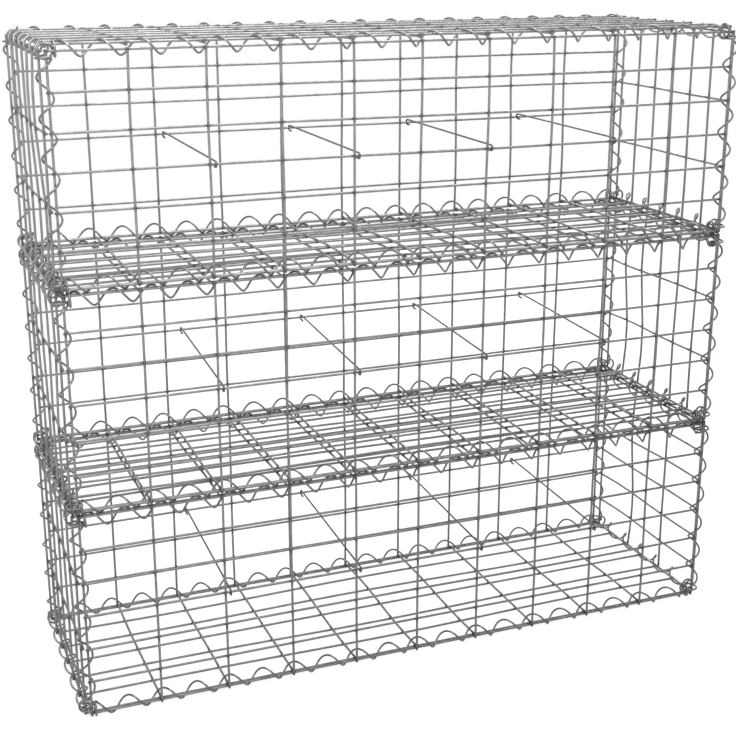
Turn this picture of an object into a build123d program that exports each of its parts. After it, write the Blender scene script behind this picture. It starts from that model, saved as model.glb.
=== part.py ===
from build123d import *
from math import atan2, cos, degrees, pi, radians, sin, sqrt
import os

# Three closed gabion baskets of galvanised welded mesh, stacked as a wall and laced
# along every edge with spiral binders. Millimetres, +Z up. The origin is the centre of
# the footprint at ground level, X runs along the wall and the front looks along -Y.

# Baskets
tier_names = ("lower", "middle", "upper")
basket_length = 1000.0  # between the outer wires of a front panel
basket_depth = 300.0  # between the outer wires of a base
basket_height = 300.0  # between the outer wires of a front panel
panel_lap = 5.0  # how far each side panel stands outside the edge wires it is laced to
lid_rise = {"lower": 0.0, "middle": 0.0, "upper": 8.0}  # the top lid is not pressed down
turned_panels = ("lower_right_end",)  # with the long side of their cells level

# Welded mesh
wide_cell = 100.0  # fitted to a whole number along each edge
narrow_per_wide = 2  # narrow cells in the length of a wide one
mesh_wire = 3.5
wire_overhang = 2.5  # wire left past the outermost weld
weld_sink = 0.3  # depth to which crossing wires are welded into each other

# Spiral binders, with one turn to each narrow cell
binder_wire = 3.0
binder_diameter = 22.5  # outside
binder_setback = 7.5  # from a corner to the end of a binder

# Ties from the back panel to the front panel
tie_wire = 2.7
cells_per_tie = 2
ties_per_tier = 4
tie_offset = 8.0  # beside the upright that it hooks next to
tie_tail = 9.0
tie_slant = {"lower": 13.0, "middle": 18.0, "upper": 4.0}  # back end further right

seat_gap = 0.25  # between wires that lie against each other
bar_sides = 6


def corner_radius(wire):
    # A six-sided bar has the same section area as the round wire.
    return wire / 2 * sqrt(2 * pi / (bar_sides * sin(2 * pi / bar_sides)))


def flat_radius(wire):
    return corner_radius(wire) * cos(pi / bar_sides)


def resting_distance(wire, other_wire):
    return corner_radius(wire) + corner_radius(other_wire) + seat_gap


layer_step = 2 * flat_radius(mesh_wire) - weld_sink
binder_radius = (binder_diameter - binder_wire) / 2
binder_reach = resting_distance(mesh_wire, binder_wire)
wire_in_binder = binder_radius - binder_reach
bedded_drop = sqrt(wire_in_binder**2 - (panel_lap / 2) ** 2)
first_level = binder_diameter / 2 - bedded_drop  # lowest level wires, bedded in the binders
reach_below = sqrt((binder_radius + binder_reach) ** 2 - (panel_lap / 2) ** 2)
tier_gap = reach_below - bedded_drop  # a binder's wire lies between the tiers
tier_step = basket_height + tier_gap

half_length = basket_length / 2
half_depth = basket_depth / 2
front_plane = half_depth + panel_lap
end_plane = half_length + panel_lap


def save(part, name):
    part.label = name
    export_step(part, f"parts/{name}.step")


def wide_cells(edge):
    return round(edge / wide_cell)


def narrow_cells(edge):
    return wide_cells(edge) * narrow_per_wide


def welded_panel(width, height, cells_across, cells_up):
    # Level wires run along X with their centres on the XY plane. Uprights run along Y above them.
    level_length = width + 2 * wire_overhang
    upright_length = height + 2 * wire_overhang
    with BuildPart() as panel:
        with BuildSketch(Plane.YZ.offset(-level_length / 2)):
            with GridLocations(height / cells_up, 1, cells_up + 1, 1):
                RegularPolygon(corner_radius(mesh_wire), bar_sides)
        extrude(amount=level_length)
        with BuildSketch(Plane.XZ.offset(-upright_length / 2)):
            with Locations((0, layer_step)):
                with GridLocations(width / cells_across, 1, cells_across + 1, 1):
                    RegularPolygon(corner_radius(mesh_wire), bar_sides)
        extrude(amount=upright_length)
    return panel.part


def binder(edge):
    # One binder along +Z from the origin, with its wire starting on +X.
    pitch = edge / narrow_cells(edge)
    length = edge - 2 * binder_setback
    with BuildPart() as turns:
        with BuildLine() as path:
            Helix(pitch=pitch, height=length, radius=binder_radius)
        with BuildSketch(Plane(origin=path.line @ 0, z_dir=path.line % 0)):
            RegularPolygon(corner_radius(binder_wire), bar_sides)
        sweep(is_frenet=True)
    return {"coil": turns.part, "length": length, "pitch": pitch}


def binder_centre(wire_a, wire_b, side):
    # Both edge wires lie against the inside of the coil, which stands off towards side.
    chord = wire_b - wire_a
    middle = (wire_a + wire_b) / 2
    stand_off = sqrt(wire_in_binder**2 - (chord.length / 2) ** 2)
    across = Vector(-chord.Y, chord.X).normalized()
    return middle + across * (stand_off if across.dot(side) > 0 else -stand_off)


def crossing_angle(centre, wire, into_panel):
    # Where the coil passes through the panel, beside the edge wire that it holds.
    offset = wire - centre
    along = offset.dot(into_panel)
    reach = sqrt(along**2 + binder_radius**2 - offset.dot(offset)) - along
    crossing = offset + into_panel * reach
    return degrees(atan2(crossing.Y, crossing.X))


def laced(part, section, wire_a, into_a, wire_b, into_b, side):
    # The section plane stands square to the edge. The coil crosses both panels at equal
    # distances from the mesh wires that meet at the edge.
    centre = binder_centre(wire_a, wire_b, side)
    angle_a = crossing_angle(centre, wire_a, into_a)
    angle_b = crossing_angle(centre, wire_b, into_b)
    half_turn = ((angle_b - angle_a + 180) % 360 - 180) / 2
    start = -part["length"] / 2
    turned = radians(angle_a + half_turn + 360 * start / part["pitch"])
    begin = section.from_local_coords(Vector(centre.X, centre.Y, start))
    towards = section.x_dir * cos(turned) + section.y_dir * sin(turned)
    return part["coil"].moved(Plane(begin, x_dir=towards, z_dir=section.z_dir).location)


def tie(slant):
    # A rod laid over the middle level wires, with an open hook round each of them.
    bend = resting_distance(mesh_wire, tie_wire)
    reach = sqrt(front_plane**2 + (slant / 2) ** 2)
    with BuildPart() as rod:
        with BuildLine(Plane.XZ) as path:
            Line((reach - tie_tail, -bend), (reach, -bend))
            ThreePointArc((reach, -bend), (reach + bend, 0), (reach, bend))
            Line((reach, bend), (-reach, bend))
            ThreePointArc((-reach, bend), (-reach - bend, 0), (-reach, -bend))
            Line((-reach, -bend), (-reach + tie_tail, -bend))
        with BuildSketch(Plane(origin=path.line @ 0, z_dir=path.line % 0)):
            RegularPolygon(corner_radius(tie_wire), bar_sides)
        sweep()
    return rod.part


os.makedirs("parts", exist_ok=True)

cells_long = wide_cells(basket_length)
long_panel = welded_panel(basket_length, basket_height, cells_long, narrow_cells(basket_height))
flat_panel = welded_panel(basket_length, basket_depth, cells_long, narrow_cells(basket_depth))
end_size = (basket_depth, basket_height)
end_panel = welded_panel(*end_size, narrow_cells(basket_depth), wide_cells(basket_height))
turned_panel = welded_panel(*end_size, wide_cells(basket_depth), narrow_cells(basket_height))

long_binder = binder(basket_length)
cross_binder = binder(basket_depth)
upright_binder = binder(basket_height)

upward = Vector(0, 0, 1)
left, right = Vector(-1, 0, 0), Vector(1, 0, 0)
forward, backward = Vector(0, -1, 0), Vector(0, 1, 0)

for tier, tier_name in enumerate(tier_names):
    bottom = first_level + tier * tier_step
    top = bottom + basket_height
    middle = (bottom + top) / 2
    lid_level = top + lid_rise[tier_name]

    # Panels, each with its uprights or cross wires on the side that its plane faces
    for side, panel, place, along, facing in (
        ("front", long_panel, (0, -front_plane, middle), right, forward),
        ("back", long_panel, (0, front_plane, middle), left, backward),
        ("left_end", end_panel, (-end_plane, 0, middle), forward, left),
        ("right_end", end_panel, (end_plane, 0, middle), backward, right),
        ("base", flat_panel, (0, 0, bottom), right, upward),
        ("lid", flat_panel, (0, 0, lid_level), right, -upward),
    ):
        name = f"{tier_name}_{side}"
        chosen = turned_panel if name in turned_panels else panel
        save(chosen.moved(Plane(place, x_dir=along, z_dir=facing).location), name)

    # Binders round the base and the lid. In each section X is outward and Y is upward.
    for rim, level, flat_level, cross_layer, into_side in (
        ("base", bottom, bottom, layer_step, Vector(0, 1)),
        ("lid", top, lid_level, -layer_step, Vector(0, -1)),
    ):
        rim_binders = []
        for outward, part, side_plane, flat_edge, flat_layer in (
            (forward, long_binder, front_plane, half_depth, 0),
            (backward, long_binder, front_plane, half_depth, 0),
            (right, cross_binder, end_plane, half_length, cross_layer),
            (left, cross_binder, end_plane, half_length, cross_layer),
        ):
            section = Plane((0, 0, 0), x_dir=outward, z_dir=outward.cross(upward))
            side_wire = Vector(side_plane, level)
            flat_wire = Vector(flat_edge, flat_level + flat_layer)
            wires = (side_wire, into_side, flat_wire, Vector(-1, 0))
            rim_binders.append(laced(part, section, *wires, into_side))
        save(Compound(children=rim_binders), f"{tier_name}_{rim}_binders")

    # Binders up the corners
    corner_binders = []
    for across, back in ((1, -1), (1, 1), (-1, 1), (-1, -1)):
        face_wire = Vector(across * half_length, back * (front_plane + layer_step))
        end_wire = Vector(across * (end_plane + layer_step), back * half_depth)
        wires = (face_wire, Vector(-across, 0), end_wire, Vector(0, -back))
        inward = Vector(-across, -back)
        corner_binders.append(laced(upright_binder, Plane((0, 0, middle)), *wires, inward))
    save(Compound(children=corner_binders), f"{tier_name}_corner_binders")

    # Ties
    slant = tie_slant[tier_name]
    tie_part = tie(slant)
    tie_spacing = cells_per_tie * basket_length / cells_long
    for number in range(ties_per_tier):
        tie_middle = (number - (ties_per_tier - 1) / 2) * tie_spacing + tie_offset + slant / 2
        place = Location((tie_middle, 0, middle), (0, 0, degrees(atan2(2 * front_plane, slant))))
        save(tie_part.moved(place), f"{tier_name}_tie_{number + 1}")
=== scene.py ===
import bpy
import numpy as np
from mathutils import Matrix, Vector


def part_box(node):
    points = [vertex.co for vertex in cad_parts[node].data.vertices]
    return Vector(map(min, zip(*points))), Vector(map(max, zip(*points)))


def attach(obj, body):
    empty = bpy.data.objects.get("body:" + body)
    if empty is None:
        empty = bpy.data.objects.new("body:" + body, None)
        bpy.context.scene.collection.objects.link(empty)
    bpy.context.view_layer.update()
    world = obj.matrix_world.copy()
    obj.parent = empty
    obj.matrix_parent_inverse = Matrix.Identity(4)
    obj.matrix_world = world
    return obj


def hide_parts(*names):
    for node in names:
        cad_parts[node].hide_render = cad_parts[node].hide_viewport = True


# A wall of three empty gabion baskets: welded mesh panels laced with spiral binders.
# Every wire of the frame is made again as a round galvanised wire in the same place.

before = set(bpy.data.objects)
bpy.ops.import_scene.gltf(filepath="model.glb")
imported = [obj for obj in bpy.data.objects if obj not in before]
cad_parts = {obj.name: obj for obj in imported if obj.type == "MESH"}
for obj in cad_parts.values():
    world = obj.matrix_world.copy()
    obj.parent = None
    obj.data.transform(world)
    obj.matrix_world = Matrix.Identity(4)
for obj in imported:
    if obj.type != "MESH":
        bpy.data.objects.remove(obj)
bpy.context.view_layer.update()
print("frame loaded,", len(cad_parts), "pieces")

tiers = ("lower", "middle", "upper")


# Surfaces

def carryCircle(paths, side, radius, sides):
    # Each point p of a path carries a circle square to it: p + r (cos a * across + sin a * out),
    # where across is the path's direction crossed with side, and out is square to both.
    # The arrays hold all the wires of a piece at once: wire, point, place round the circle, axis.
    along = np.gradient(paths, axis=1)
    along /= np.linalg.norm(along, axis=2, keepdims=True)
    across = np.cross(along, side)
    across /= np.linalg.norm(across, axis=2, keepdims=True)
    out = np.cross(across, along)
    turn = np.linspace(0, 2 * np.pi, sides, endpoint=False)[:, None]
    ring = np.cos(turn) * across[..., None, :] + np.sin(turn) * out[..., None, :]
    surface = paths[..., None, :] + radius[..., None, None] * ring
    # The same surface unrolled: where a point lies round the wire and along it
    steps = np.linalg.norm(np.diff(paths, axis=1), axis=2)
    travelled = np.concatenate([np.zeros((len(paths), 1)), np.cumsum(steps, axis=1)], axis=1)
    drawn = np.empty_like(surface)
    drawn[..., 0] = radius[..., None] * np.cos(turn[:, 0])
    drawn[..., 1] = radius[..., None] * np.sin(turn[:, 0])
    drawn[..., 2] = travelled[..., None]
    return surface, drawn


def gridFaces(wireCount, pointCount, sides, first):
    # Four-cornered faces between neighbouring circles, and one flat face at each end of a wire
    index = first + np.arange(wireCount * pointCount * sides).reshape(wireCount, pointCount, sides)
    after = np.roll(index, -1, axis=2)
    walls = np.stack([index[:, :-1], index[:, 1:], after[:, 1:], after[:, :-1]], axis=-1)
    ends = np.concatenate([index[:, 0], index[:, -1, ::-1]])
    return walls.reshape(-1, 4).tolist(), ends.tolist()


def makePiece(name, surfaces, material, node):
    # surfaces holds (surface, drawn, weld) for each family of wires in the piece
    points, drawn, weld, walls, ends, count = [], [], [], [], [], 0
    for surface, unrolled, welded in surfaces:
        newWalls, newEnds = gridFaces(*surface.shape[:3], count)
        walls += newWalls
        ends += newEnds
        count += surface[..., 0].size
        points.append(surface.reshape(-1, 3))
        drawn.append(unrolled.reshape(-1, 3))
        weld.append(np.broadcast_to(welded[..., None], surface.shape[:3]).ravel())
    mesh = bpy.data.meshes.new(name)
    mesh.from_pydata(np.concatenate(points).tolist(), [], walls + ends)
    mesh.polygons.foreach_set("use_smooth", [True] * len(walls) + [False] * len(ends))
    drawnData = mesh.attributes.new("drawn", "FLOAT_VECTOR", "POINT").data
    drawnData.foreach_set("vector", np.concatenate(drawn).ravel())
    weldData = mesh.attributes.new("weld", "FLOAT", "POINT").data
    weldData.foreach_set("value", np.concatenate(weld))
    mesh.update()
    mesh.materials.append(material)
    piece = bpy.data.objects.new(name, mesh)
    bpy.context.scene.collection.objects.link(piece)
    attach(piece, "root")
    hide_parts(node)


def cutEnds(count, wire, bevel):
    # A wire's radius at each of its points, with its sheared ends a little narrower
    radius = np.full(count, wire / 2)
    radius[[0, -1]] -= bevel
    return radius


# Materials

class Signal:
    # A number or colour on its way through a material. Sums on it add Math nodes.
    def __init__(self, nodes, socket):
        self.nodes = nodes
        self.socket = socket

    def maths(self, operation, first, second):
        return self.nodes.add("ShaderNodeMath", {"operation": operation}, {0: first, 1: second})

    def __add__(self, other):
        return self.maths("ADD", self, other)

    def __radd__(self, other):
        return self.maths("ADD", other, self)

    def __sub__(self, other):
        return self.maths("SUBTRACT", self, other)

    def __rsub__(self, other):
        return self.maths("SUBTRACT", other, self)

    def __mul__(self, other):
        return self.maths("MULTIPLY", self, other)

    def __rmul__(self, other):
        return self.maths("MULTIPLY", other, self)

    def larger(self, other):
        return self.maths("MAXIMUM", self, other)


# A Mix node's colours go by number, because its sockets for single values have the same names
mixSockets = {"first": 6, "second": 7, "result": 2}


class Nodes:
    # The node tree of a material or of the world
    def __init__(self, owner):
        self.owner = owner
        self.owner.use_nodes = True
        self.tree = owner.node_tree
        self.tree.nodes.clear()

    def add(self, kind, settings=None, sockets=None, output=0):
        node = self.tree.nodes.new(kind)
        for name, value in (settings or {}).items():
            if name == "stops":
                for element, (place, shade) in zip(list(node.color_ramp.elements), value):
                    element.position = place
                    element.color = (shade, shade, shade, 1)
            else:
                setattr(node, name, value)
        for name, value in (sockets or {}).items():
            if isinstance(value, Signal):
                self.tree.links.new(value.socket, node.inputs[name])
            else:
                node.inputs[name].default_value = value
        return Signal(self, node.outputs[output])

    def mixColour(self, blend, factor, first, second):
        return self.add(
            "ShaderNodeMix", {"data_type": "RGBA", "blend_type": blend},
            {"Factor": factor, mixSockets["first"]: first, mixSockets["second"]: second},
            output=mixSockets["result"],
        )

    def noise(self, vector, scale, detail, **others):
        sockets = {"Vector": vector, "Scale": scale, "Detail": detail, **others}
        return self.add("ShaderNodeTexNoise", None, sockets)

    def part(self, vector, axis):
        # One of the three numbers that make up a place
        return self.add("ShaderNodeSeparateXYZ", None, {"Vector": vector}, output=axis)

    def share(self, value, start, end):
        # 0 at start, 1 at end, and level past both
        return self.add("ShaderNodeMapRange", None, {"Value": value, "From Min": start, "From Max": end})

    def finish(self, shader, kind="ShaderNodeOutputMaterial"):
        end = self.tree.nodes.new(kind)
        self.tree.links.new(shader.socket, end.inputs["Surface"])
        return self.owner


def galvanised(name, look):
    # Hot-dip zinc on drawn wire: cloudy patches, faint lines along the wire, small dull specks,
    # and a burnt grey bloom round the welds.
    nodes = Nodes(bpy.data.materials.new(name))
    place = nodes.add("ShaderNodeTexCoord", output="Object")
    drawn = nodes.add("ShaderNodeAttribute", {"attribute_name": "drawn"}, output="Vector")
    weld = nodes.add("ShaderNodeAttribute", {"attribute_name": "weld"}, output="Fac")
    clouds = nodes.noise(place, look["cloudScale"], look["cloudDetail"], Roughness=look["cloudRoughness"])
    patches = nodes.add("ShaderNodeValToRGB", {"stops": look["cloudStops"]}, {"Fac": clouds})
    stretched = nodes.add("ShaderNodeMapping", None, {"Vector": drawn, "Scale": look["lineStretch"]})
    lines = nodes.noise(stretched, look["lineScale"], look["lineDetail"])
    grain = nodes.noise(place, look["grainScale"], look["grainDetail"])
    cells = nodes.add("ShaderNodeTexVoronoi", None, {"Vector": place, "Scale": look["speckScale"]})
    specks = nodes.add("ShaderNodeValToRGB", {"stops": look["speckStops"]}, {"Fac": cells})
    dullness = look["cloudShare"] * patches + look["lineShare"] * lines + look["grainShare"] * grain
    zinc = nodes.mixColour("MIX", dullness, look["bright"] + (1,), look["dull"] + (1,))
    speckled = nodes.mixColour("MIX", specks * look["speckAmount"], zinc, look["speck"] + (1,))
    burnt = nodes.mixColour("MIX", weld * look["weldAmount"], speckled, look["burnt"] + (1,))
    # Painted shade: the colour darkens towards the ground, where less light falls, and towards the wall's
    # right end, its unlit side
    low = nodes.share(nodes.part(place, "Z"), *look["paintedShadeHeights"])
    right = nodes.share(nodes.part(place, "X"), *look["paintedShadeSides"])
    paintedShade = look["paintedShadeLow"] * low + look["paintedShadeRight"] * right
    height = lines * look["reliefLines"] + grain * look["reliefGrain"] - specks * look["reliefSpecks"]
    surface = nodes.add("ShaderNodeBsdfPrincipled", None, {
        "Base Color": nodes.mixColour("MULTIPLY", paintedShade, burnt, look["paintedShadeColour"] + (1,)),
        "Roughness": look["roughness"] + look["roughnessSpread"] * dullness + look["weldRoughness"] * weld,
        "Normal": nodes.add(
            "ShaderNodeBump", None,
            {"Strength": look["relief"], "Distance": look["reliefDepth"], "Height": height},
        ),
        "Metallic": look["metallic"],
    })
    return nodes.finish(surface)


zincLook = {
    "bright": (0.40, 0.405, 0.415),
    "dull": (0.25, 0.255, 0.265),
    "cloudScale": 70.0,
    "cloudDetail": 3.0,
    "cloudRoughness": 0.6,
    "cloudStops": ((0.36, 0.0), (0.64, 1.0)),
    "cloudShare": 0.55,    # how much of the dullness the clouds make
    "lineStretch": (1.0, 1.0, 0.06),
    "lineScale": 1500.0,
    "lineDetail": 2.0,
    "lineShare": 0.25,
    "grainScale": 900.0,
    "grainDetail": 4.0,
    "grainShare": 0.2,
    "speck": (0.14, 0.145, 0.15),
    "speckScale": 420.0,
    "speckStops": ((0.1, 1.0), (0.24, 0.0)),
    "speckAmount": 0.5,
    "burnt": (0.09, 0.09, 0.095),
    "weldAmount": 0.75,
    "roughness": 0.3,
    "roughnessSpread": 0.22,
    "weldRoughness": 0.18,
    "relief": 0.3,
    "reliefDepth": 0.0003,
    "reliefLines": 0.5,
    "reliefGrain": 0.4,
    "reliefSpecks": 0.2,
    "metallic": 0.85,
    # Painted shade: a grey multiplied into the zinc towards the ground and the right end, standing in for
    # less light there
    "paintedShadeColour": (0.5, 0.505, 0.52),
    "paintedShadeHeights": (0.97, 0.08),   # metres above the ground where the painted shade starts and is full
    "paintedShadeSides": (-0.55, 0.52),    # and the same from left to right, so the left end stays lighter and the right end gets the painted shade
    "paintedShadeLow": 0.75,
    "paintedShadeRight": 0.45,
}
meshZinc = galvanised("mesh_zinc", zincLook)
binderZinc = galvanised("binder_zinc", {
    **zincLook, "bright": (0.34, 0.345, 0.355), "dull": (0.16, 0.165, 0.175), "roughness": 0.26,
})
tieZinc = galvanised("tie_zinc", {
    **zincLook,
    "bright": (0.2, 0.2, 0.205), "dull": (0.09, 0.09, 0.095), "roughness": 0.34, "cloudScale": 110.0,
})
print("materials made")


# Welded mesh panels

weldedMesh = {
    "wire": 0.0035,
    "layer": 0.00303,      # between the centres of crossing wires, which the welds press together
    "overhang": 0.0025,    # past the outermost weld
    "wideCell": 0.1,
    "narrowCell": 0.05,
    "sides": 12,
    "bevel": 0.0004,
    "weldReach": 0.006,    # how far the weld's bloom runs along a wire
    "nugget": 0.00235,     # half width of the metal squeezed out of a weld
    "nuggetDepth": 0.0021,
    "nuggetSides": 8,
    "nuggetSteps": 5,
    "nuggetBlunt": 0.04,   # what keeps its two poles flat
    "bow": 0.0011,         # a panel's bulge between its edges and its middle wire
    "bowWaves": 3,
    "wander": 0.0006,      # a wire's bend within its panel
    "spacing": 0.0004,     # error in a wire's place
    "farthest": 2,         # no wire is out by more than this many times the usual
}

# Level wires run along "level", uprights along "upright" and on the side that "out" faces
panelSides = {
    "front": {"level": (1, 0, 0), "upright": (0, 0, 1), "out": (0, -1, 0)},
    "back": {"level": (1, 0, 0), "upright": (0, 0, 1), "out": (0, 1, 0)},
    "left_end": {"level": (0, 1, 0), "upright": (0, 0, 1), "out": (-1, 0, 0)},
    "right_end": {"level": (0, 1, 0), "upright": (0, 0, 1), "out": (1, 0, 0)},
    "base": {"level": (1, 0, 0), "upright": (0, 1, 0), "out": (0, 0, 1)},
    "lid": {"level": (1, 0, 0), "upright": (0, 1, 0), "out": (0, 0, -1)},
}
turnedPanels = ("lower_right_end",)


def wireStations(length, crossings):
    # Points along a wire: both cut ends, three at each weld and one between welds
    reach = weldedMesh["weldReach"]
    between = (crossings[1:] + crossings[:-1]) / 2
    end = length / 2 + weldedMesh["overhang"]
    shoulder = end - weldedMesh["bevel"]
    near = (crossings[:, None] + np.array((-reach, 0, reach))).ravel()
    near = near[np.abs(near) < shoulder]
    return np.sort(np.concatenate([near, between, (-end, -shoulder, shoulder, end)]))


def nearWeld(stations, crossings):
    distance = np.abs(stations[:, None] - crossings).min(axis=1)
    return np.clip(1 - distance / weldedMesh["weldReach"], 0, 1)


def placeErrors(draw, places):
    # Each inner wire's own error of place and bow, none on the edge wires that the binders hold
    error = draw.normal(0, 1, (2, len(places)))
    error[:, [0, -1]] = 0
    scale = np.array((weldedMesh["spacing"], weldedMesh["wander"]))
    place, bow = np.clip(error, -weldedMesh["farthest"], weldedMesh["farthest"]) * scale[:, None]
    return (places + place)[:, None], bow[:, None]


class Panel:
    # One welded panel: its own axes, the places of its wires and how far each is out.
    # Points on it are given by their distances across and along from its centre.
    def __init__(self, node, side, levelCell, uprightCell, seed):
        draw = np.random.default_rng(seed)
        low, high = (np.array(corner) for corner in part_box(node))
        self.centre = (low + high) / 2
        axes = (np.array(side[key], float) for key in ("level", "upright", "out"))
        self.level, self.upright, self.out = axes
        self.width = abs((high - low) @ self.level) - 2 * weldedMesh["overhang"]
        self.height = abs((high - low) @ self.upright) - 2 * weldedMesh["overhang"]
        self.levels = np.linspace(-self.height / 2, self.height / 2, round(self.height / levelCell) + 1)
        self.uprights = np.linspace(-self.width / 2, self.width / 2, round(self.width / uprightCell) + 1)
        self.bows = draw.normal(0, weldedMesh["bow"], weldedMesh["bowWaves"])
        self.levelPlace, self.levelBow = placeErrors(draw, self.levels)
        self.uprightPlace, self.uprightBow = placeErrors(draw, self.uprights)

    def bulge(self, across, along):
        # Waves that die out at the panel's edges and at its middle wire, where the ties pull
        shares = np.clip(across / self.width + 0.5, 0, 1), np.clip(along / self.height + 0.5, 0, 1)
        waves = sum(size * np.sin((k + 1) * np.pi * shares[0]) for k, size in enumerate(self.bows))
        return waves * np.sin(2 * np.pi * shares[1])

    def levelsAlong(self, across):
        return self.levelPlace + self.levelBow * np.sin(2 * np.pi * across / self.width)

    def uprightsAcross(self, along):
        return self.uprightPlace + self.uprightBow * np.cos(np.pi * along / self.height)

    def points(self, across, along, layer):
        lift = layer + self.bulge(across, along)
        inPlane = across[..., None] * self.level + along[..., None] * self.upright
        return self.centre + inPlane + lift[..., None] * self.out

    def wires(self, across, along, layer, stations, crossings):
        paths = self.points(across, along, layer)
        radius = cutEnds(len(stations), weldedMesh["wire"], weldedMesh["bevel"])
        radius = np.broadcast_to(radius, paths.shape[:2])
        surface, unrolled = carryCircle(paths, self.out, radius, weldedMesh["sides"])
        return surface, unrolled, np.broadcast_to(nearWeld(stations, crossings), paths.shape[:2])

    def levelWires(self):
        stations = wireStations(self.width, self.uprights)
        across = np.broadcast_to(stations, (len(self.levels), len(stations)))
        layer = -weldedMesh["layer"] / 2
        return self.wires(across, self.levelsAlong(stations), layer, stations, self.uprights)

    def uprightWires(self):
        stations = wireStations(self.height, self.levels)
        along = np.broadcast_to(stations, (len(self.uprights), len(stations)))
        layer = weldedMesh["layer"] / 2
        return self.wires(self.uprightsAcross(stations), along, layer, stations, self.levels)

    def nuggets(self):
        # Metal squeezed out of each weld: a circle that swells and closes on its way through the panel
        across, along = self.uprightsAcross(self.levels).T, self.levelsAlong(self.uprights)
        crossings = self.points(across, along, 0.0).reshape(-1, 1, 3)
        share = np.cos(np.linspace(np.pi, 0, weldedMesh["nuggetSteps"]))
        paths = crossings + (weldedMesh["nuggetDepth"] * share)[:, None] * self.out
        swelling = weldedMesh["nugget"] * np.sqrt(1 + weldedMesh["nuggetBlunt"] - share**2)
        radius = np.broadcast_to(swelling, paths.shape[:2])
        surface, unrolled = carryCircle(paths, self.level, radius, weldedMesh["nuggetSides"])
        return surface, unrolled, np.ones(paths.shape[:2])


for tier in tiers:
    for order, (sideName, side) in enumerate(panelSides.items()):
        node = f"{tier}_{sideName}"
        levelCell, uprightCell = weldedMesh["narrowCell"], weldedMesh["wideCell"]
        if sideName.endswith("end") and node not in turnedPanels:
            levelCell, uprightCell = uprightCell, levelCell
        panel = Panel(node, side, levelCell, uprightCell, seed=10 * tiers.index(tier) + order)
        surfaces = [panel.levelWires(), panel.uprightWires(), panel.nuggets()]
        makePiece(f"{node}_mesh", surfaces, meshZinc, node)
print("panels made")


# Spiral binders

binder = {
    "wire": 0.003,
    "diameter": 0.0225,    # outside
    "pitch": 0.05,
    "sides": 12,
    "turnSteps": 28,
    "bevel": 0.0004,
    "closing": 0.004,      # the length over which one more turn closes up each end
    "wobble": 0.08,        # how far each of two waves puts a turn out of step, in radians
    "wobbleLength": 0.31,
    "overtone": 2.65,      # the second wave's turns for one of the first
}


def coilPath(points, axis):
    # The frame's coil gives its own centre line, its start and its phase. The wire then follows
    # centre + s * axis + R (cos t * u + sin t * v), where t grows by a full turn over each pitch.
    axis = np.array(axis, float)
    u = np.roll(axis, 1)
    v = np.cross(axis, u)
    low, high = points.min(axis=0), points.max(axis=0)
    centre = (low + high) / 2
    offset = points - centre
    angle = np.arctan2(offset @ v, offset @ u)
    turnRate = 2 * np.pi / binder["pitch"]
    phase = np.angle(np.exp(1j * (angle - turnRate * (offset @ axis))).mean())
    half = (high - low) @ axis / 2 - binder["bevel"]
    inner = half - binder["closing"]
    loose = np.linspace(-inner, inner, round(2 * inner / binder["pitch"] * binder["turnSteps"]))
    tight = np.linspace(inner, half, binder["turnSteps"])[1:]
    s = np.concatenate([-tight[::-1], loose, tight])
    closed = np.clip((np.abs(s) - inner) / binder["closing"], 0, 1)
    # Turns lean by their place on the wall alone, so neighbouring coils stay clear, and not at the ends
    wave = 2 * np.pi * (centre @ axis + s) / binder["wobbleLength"]
    lean = np.sin(wave) + np.sin(binder["overtone"] * wave)
    t = phase + turnRate * s + binder["wobble"] * lean * np.sqrt(np.abs(np.cos(np.pi * s / (2 * half))))
    t += 2 * np.pi * np.sign(s) * closed
    radius = (binder["diameter"] - binder["wire"]) / 2
    circle = np.cos(t)[:, None] * u + np.sin(t)[:, None] * v
    return centre + s[:, None] * axis + radius * circle, circle


def coilSurface(points, axis):
    path, outward = coilPath(points, axis)
    radius = cutEnds(len(path), binder["wire"], binder["bevel"])[None]
    surface, unrolled = carryCircle(path[None], outward[None], radius, binder["sides"])
    return surface, unrolled, np.zeros((1, len(path)))


def nodePoints(node):
    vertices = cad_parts[node].data.vertices
    flat = np.empty(3 * len(vertices), np.float32)
    vertices.foreach_get("co", flat)
    return flat.reshape(-1, 3).astype(float)


for tier in tiers:
    for rim in ("base", "lid"):
        node = f"{tier}_{rim}_binders"
        points = nodePoints(node)
        reach = np.abs(points).max(axis=0)
        onLongEdge = reach[1] - np.abs(points[:, 1]) < reach[0] - np.abs(points[:, 0])
        coils = [coilSurface(points[onLongEdge & (points[:, 1] * way > 0)], (1, 0, 0)) for way in (-1, 1)]
        coils += [coilSurface(points[~onLongEdge & (points[:, 0] * way > 0)], (0, 1, 0)) for way in (-1, 1)]
        makePiece(f"{node}_coils", coils, binderZinc, node)
    node = f"{tier}_corner_binders"
    points = nodePoints(node)
    coils = [
        coilSurface(points[(points[:, 0] * right > 0) & (points[:, 1] * back > 0)], (0, 0, 1))
        for right in (-1, 1) for back in (-1, 1)
    ]
    makePiece(f"{node}_coils", coils, binderZinc, node)
print("binders made")


# Ties

tie = {
    "wire": 0.0027,
    "tail": 0.009,
    "sides": 12,
    "rodSteps": 24,
    "hookSteps": 13,
    "bevel": 0.0004,
    "count": 4,
}


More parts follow.
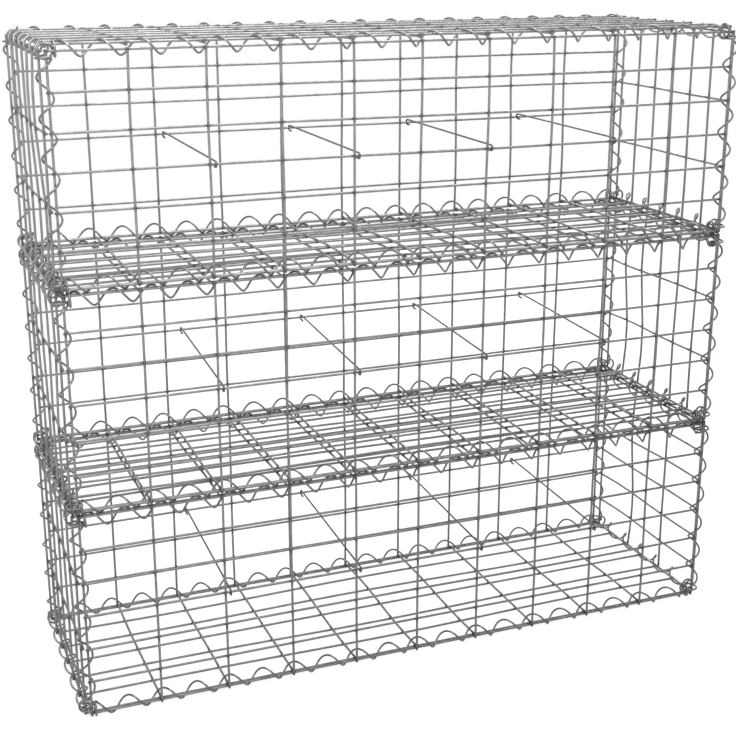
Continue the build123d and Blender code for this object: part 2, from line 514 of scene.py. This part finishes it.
def tiePath(node):
    # A rod over the two level wires, a half circle round each of them, and a short tail beneath
    low, high = (np.array(corner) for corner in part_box(node))
    centre = (low + high) / 2
    half = (high - low) / 2 - tie["wire"] / 2
    bend = half[2]
    way = np.array((half[0], half[1], 0.0))
    up = np.array((0.0, 0.0, 1.0))
    reach = np.linalg.norm(way) - bend
    way /= np.linalg.norm(way)
    turn = np.linspace(-np.pi / 2, np.pi / 2, tie["hookSteps"])
    hook = np.stack([reach + bend * np.cos(turn), bend * np.sin(turn)], axis=1)
    tail = np.array(((reach - tie["tail"], -bend), (reach - tie["tail"] + tie["bevel"], -bend)))
    along = np.linspace(reach, -reach, tie["rodSteps"])[1:-1]
    rod = np.stack([along, np.full_like(along, bend)], axis=1)
    line = np.concatenate([tail, hook, rod, hook[::-1] * (-1, 1), tail[::-1] * (-1, 1)])
    return centre + line[:, :1] * way + line[:, 1:] * up, np.cross(way, up)


for tier in tiers:
    for number in range(tie["count"]):
        node = f"{tier}_tie_{number + 1}"
        path, side = tiePath(node)
        radius = cutEnds(len(path), tie["wire"], tie["bevel"])[None]
        surface, unrolled = carryCircle(path[None], side, radius, tie["sides"])
        makePiece(f"{node}_wire", [(surface, unrolled, np.zeros((1, len(path))))], tieZinc, node)
print("ties made")


# Floor and light

studio = {
    "floorSize": 12.0,
    "floorColour": (0.9, 0.9, 0.9, 1),
    "white": (1, 1, 1, 1),
    "whiteness": 0.8,      # share of the floor's own white that the camera sees over its shading
    "glow": 1.06,
    "worldLight": 0.8,     # the white that falls on the wall, where what the camera sees of it is 1
    "lampTarget": (0, 0, 0.5),
    "lamps": {
        "key_lamp": {"place": (-1.4, -2.2, 2.6), "size": 1.2, "power": 55},
        "top_lamp": {"place": (0.3, 0.2, 2.8), "size": 1.6, "power": 40},
        "back_lamp": {"place": (1.6, 1.9, 1.6), "size": 1.0, "power": 25},
    },
}


def seenDirectly(nodes):
    # 1 for a ray that comes from the camera, or by way of a mirror or glass, and 0 for other light
    camera, glossy, transmission = (
        nodes.add("ShaderNodeLightPath", output=name)
        for name in ("Is Camera Ray", "Is Glossy Ray", "Is Transmission Ray")
    )
    return camera.larger(glossy).larger(transmission)


def whiteFloor():
    half = studio["floorSize"] / 2
    mesh = bpy.data.meshes.new("floor")
    corners = [(-half, -half, 0), (half, -half, 0), (half, half, 0), (-half, half, 0)]
    mesh.from_pydata(corners, [], [(0, 1, 2, 3)])
    nodes = Nodes(bpy.data.materials.new("floor_white"))
    lit = nodes.add("ShaderNodeBsdfDiffuse", None, {"Color": studio["floorColour"]})
    white = nodes.add("ShaderNodeEmission", None, {"Color": studio["white"], "Strength": studio["glow"]})
    amount = seenDirectly(nodes) * studio["whiteness"]
    mesh.materials.append(nodes.finish(nodes.add("ShaderNodeMixShader", None, {0: amount, 1: lit, 2: white})))
    floor = bpy.data.objects.new("floor", mesh)
    bpy.context.scene.collection.objects.link(floor)


def whiteWorld():
    nodes = Nodes(bpy.data.worlds.new("studio"))
    level = nodes.add(
        "ShaderNodeMapRange", None,
        {"Value": seenDirectly(nodes), "To Min": studio["worldLight"], "To Max": 1.0},
    )
    glow = nodes.add("ShaderNodeBackground", None, {"Color": studio["white"], "Strength": level})
    bpy.context.scene.world = nodes.finish(glow, "ShaderNodeOutputWorld")


def softLamp(name, place, size, power):
    lamp = bpy.data.lights.new(name, "AREA")
    lamp.shape = "DISK"
    lamp.size = size
    lamp.energy = power
    holder = bpy.data.objects.new(name, lamp)
    holder.location = place
    aim = Vector(studio["lampTarget"]) - Vector(place)
    holder.rotation_euler = aim.to_track_quat("-Z", "Y").to_euler()
    bpy.context.scene.collection.objects.link(holder)


whiteFloor()
whiteWorld()
for name, lamp in studio["lamps"].items():
    softLamp(name, **lamp)


# Camera

camera = {
    "azimuth": -21.89,     # degrees round from the front
    "elevation": 17.04,
    "distance": 2.0911,
    "target": (-0.0046, 0.0, 0.4329),
    "lens": 65.79,
    "sensor": 36,
    "shift": (-0.011, -0.0155),
}


def placeCamera():
    azimuth, elevation = np.radians(camera["azimuth"]), np.radians(camera["elevation"])
    back = Vector((
        np.sin(azimuth) * np.cos(elevation), -np.cos(azimuth) * np.cos(elevation), np.sin(elevation),
    ))
    lens = bpy.data.cameras.new("camera")
    lens.sensor_width = camera["sensor"]
    lens.lens = camera["lens"]
    lens.shift_x, lens.shift_y = camera["shift"]
    holder = bpy.data.objects.new("camera", lens)
    holder.location = Vector(camera["target"]) + camera["distance"] * back
    holder.rotation_euler = back.to_track_quat("Z", "Y").to_euler()
    bpy.context.scene.collection.objects.link(holder)
    bpy.context.scene.camera = holder


placeCamera()
bpy.context.scene.view_settings.view_transform = "Standard"
print("studio and camera placed")

print("scene ready")
